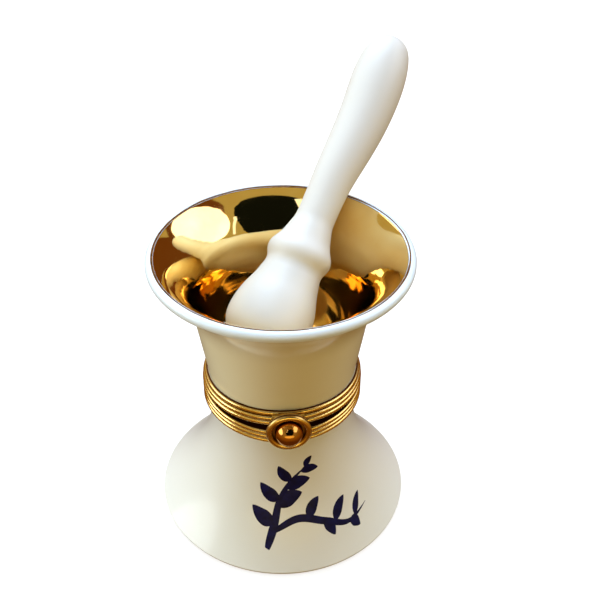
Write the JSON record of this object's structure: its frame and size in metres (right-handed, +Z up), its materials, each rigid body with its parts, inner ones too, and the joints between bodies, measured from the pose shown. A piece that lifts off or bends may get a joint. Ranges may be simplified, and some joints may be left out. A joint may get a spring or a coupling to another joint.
{
  "type": "mortar and pestle pill box",
  "caption": "Hinged porcelain pill box shaped as a mortar and pestle, with ribbed brass mounts, a sprung clasp and a gilt-lined bowl.",
  "frame": {"origin": "centre of the foot ring, on the plane that it stands on", "axes": "+Z up along the axis of the base and bowl, the clasp faces -Y and the hinge is at +Y"},
  "size_m": [0.0491, 0.0601, 0.0776],
  "materials": {
    "porcelain": "clear gloss glaze over white porcelain",
    "gilding": "burnished gold, mirror bright",
    "mounts": "polished gilt brass, darker in the grooves",
    "bedding": "matt plaster cement"
  },
  "bodies": {
    "base": {"base": "porcelain", "lower_mount": "mounts", "lower_bedding": "bedding", "inner_bezel": "mounts", "lower_hinge_leaf": "mounts", "hinge_pin": "mounts", "catch_bead": "mounts"},
    "lid": {"bowl": "porcelain", "bowl_gilding": "gilding", "upper_mount": "mounts", "upper_bedding": "bedding", "upper_hinge_leaf": "mounts"},
    "clasp": {"clasp_tongue": "mounts", "clasp_plate": "mounts", "clasp_ring": "mounts", "clasp_cabochon": "mounts"},
    "pestle": {"pestle": "porcelain"}
  },
  "joints": [
    {"name": "lid_hinge", "type": "hinge", "parent": "base", "child": "lid", "pos_m": [0, 0.0157, 0.02757], "axis": [-1, 0, 0], "range_deg": [0, 90]},
    {"name": "clasp_flex", "type": "hinge", "parent": "lid", "child": "clasp", "pos_m": [0, -0.01445, 0.0306], "axis": [-1, 0, 0], "range_deg": [0, 6], "stiffness_Nm_per_rad": 0.05},
    {"name": "pestle_lift", "type": "slide", "parent": "lid", "child": "pestle", "axis": [0, 0, 1], "range_m": [0, 0.03]}
  ]
}
